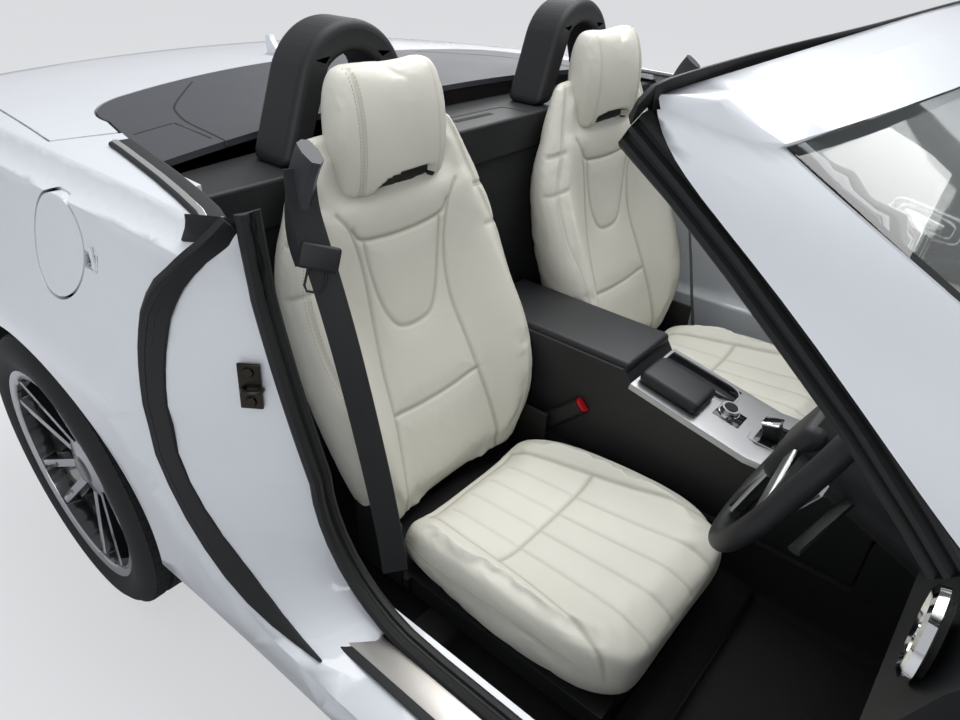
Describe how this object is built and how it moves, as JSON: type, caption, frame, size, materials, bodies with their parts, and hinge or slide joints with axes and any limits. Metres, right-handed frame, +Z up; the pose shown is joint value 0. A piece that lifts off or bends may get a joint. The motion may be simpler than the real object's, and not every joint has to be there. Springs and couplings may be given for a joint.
{
  "type": "roadster convertible",
  "caption": "Two-seat open roadster with its roof stowed: opening doors, bonnet and boot lid, steered and rolling wheels, hollow cabin with bucket seats.",
  "frame": {"origin": "middle of the underside of the whole object's box, on the ground, the open door included", "axes": "+X forward, +Y to the car's left, +Z up"},
  "size_m": [4.1338, 3.0144, 1.2539],
  "materials": {
    "paint": "gloss white paint over primer",
    "underseal": "dark underseal on pressed steel",
    "black_trim": "grained black moulding",
    "gloss_black": "gloss black",
    "cover_trim": "fine-grained dark grey moulding",
    "leather": "cream leather",
    "seat_plastic": "black moulding",
    "glass": "clear laminated glass",
    "lamp_glass": "clear lamp lens",
    "red_lens": "red lamp lens",
    "rubber_tyre": "black rubber",
    "alloy": "black enamel with machined faces",
    "steel": "bare and black steel",
    "engine": "cast covers",
    "exhaust_steel": "stainless steel"
  },
  "bodies": {
    "root": {"body_sides": "paint", "centre_console": "black_trim", "dashboard": "black_trim", "engine_block": "engine", "exhaust": "exhaust_steel", "floor_pan": "underseal", "front_axle": "steel", "front_bulkhead": "paint", "front_bumper": "paint", "front_structure": "underseal", "front_wings": "paint", "grille": "gloss_black", "headlamps": "lamp_glass", "headrests": "leather", "pedals": "steel", "rear_axle": "steel", "rear_bumper": "paint", "rear_shelf": "black_trim", "rear_tub": "underseal", "roll_hoops": "black_trim", "scuttle_panel": "black_trim", "seat_backrests": "leather", "seat_bases": "seat_plastic", "seat_cushions": "leather", "steering_column": "black_trim", "tail_lamps": "red_lens", "tonneau_cover": "cover_trim", "windscreen": "glass", "windscreen_frame": "paint"},
    "bonnet": {"bonnet": "paint"},
    "boot_lid": {"boot_lid": "paint"},
    "fuel_flap": {"fuel_flap": "paint"},
    "door_right": {"door_right": "paint", "door_trim_right": "black_trim", "mirror_right": "paint"},
    "door_left": {"door_left": "paint", "door_trim_left": "black_trim", "mirror_left": "paint"},
    "steering_wheel": {"steering_wheel": "black_trim"},
    "knuckle_right": {"knuckle_right": "steel"},
    "knuckle_left": {"knuckle_left": "steel"},
    "front_right_wheel": {"wheel_front_right": "alloy", "tyre_front_right": "rubber_tyre"},
    "front_left_wheel": {"wheel_front_left": "alloy", "tyre_front_left": "rubber_tyre"},
    "rear_right_wheel": {"wheel_rear_right": "alloy", "tyre_rear_right": "rubber_tyre"},
    "rear_left_wheel": {"wheel_rear_left": "alloy", "tyre_rear_left": "rubber_tyre"}
  },
  "joints": [
    {"name": "bonnet_hinge", "type": "hinge", "parent": "root", "child": "bonnet", "pos_m": [0.55851, 0.50422, 0.903], "axis": [0, -1, 0], "range_deg": [0, 50]},
    {"name": "boot_lid_hinge", "type": "hinge", "parent": "root", "child": "boot_lid", "pos_m": [-1.05949, 0.50422, 0.955], "axis": [0, 1, 0], "range_deg": [0, 60]},
    {"name": "fuel_flap_hinge", "type": "hinge", "parent": "root", "child": "fuel_flap", "pos_m": [-0.92949, -0.32178, 0.866], "axis": [0, 0, 1], "range_deg": [0, 90]},
    {"name": "door_right_hinge", "type": "hinge", "parent": "root", "child": "door_right", "pos_m": [0.48051, -0.33778, 0.58], "axis": [0, 0, 1], "range_deg": [-62, 3]},
    {"name": "door_left_hinge", "type": "hinge", "parent": "root", "child": "door_left", "pos_m": [0.48051, 1.34622, 0.58], "axis": [0, 0, -1], "range_deg": [0, 65]},
    {"name": "steer_right", "type": "hinge", "parent": "root", "child": "knuckle_right", "pos_m": [1.22451, -0.25128, 0.3186], "axis": [0, 0, 1], "range_deg": [-34, 34]},
    {"name": "steer_left", "type": "hinge", "parent": "root", "child": "knuckle_left", "pos_m": [1.22451, 1.25972, 0.3186], "axis": [0, 0, 1], "range_deg": [-34, 34]},
    {"name": "steering_wheel_turn", "type": "hinge", "parent": "root", "child": "steering_wheel", "pos_m": [0.03051, 0.14722, 0.76], "axis": [-0.9135, 0, 0.4067], "range_deg": [-408, 408]},
    {"name": "front_right_roll", "type": "hinge", "parent": "knuckle_right", "child": "front_right_wheel", "pos_m": [1.22451, -0.27528, 0.3186], "axis": [0, 1, 0], "continuous": true},
    {"name": "front_left_roll", "type": "hinge", "parent": "knuckle_left", "child": "front_left_wheel", "pos_m": [1.22451, 1.28372, 0.3186], "axis": [0, 1, 0], "continuous": true},
    {"name": "rear_right_roll", "type": "hinge", "parent": "root", "child": "rear_right_wheel", "pos_m": [-1.20549, -0.27828, 0.3143], "axis": [0, 1, 0], "continuous": true},
    {"name": "rear_left_roll", "type": "hinge", "parent": "root", "child": "rear_left_wheel", "pos_m": [-1.20549, 1.28672, 0.3143], "axis": [0, 1, 0], "continuous": true}
  ],
  "couplings": [
    {"joint": "steer_left", "follows": "steer_right", "ratio": 1},
    {"joint": "steering_wheel_turn", "follows": "steer_right", "ratio": 12}
  ]
}
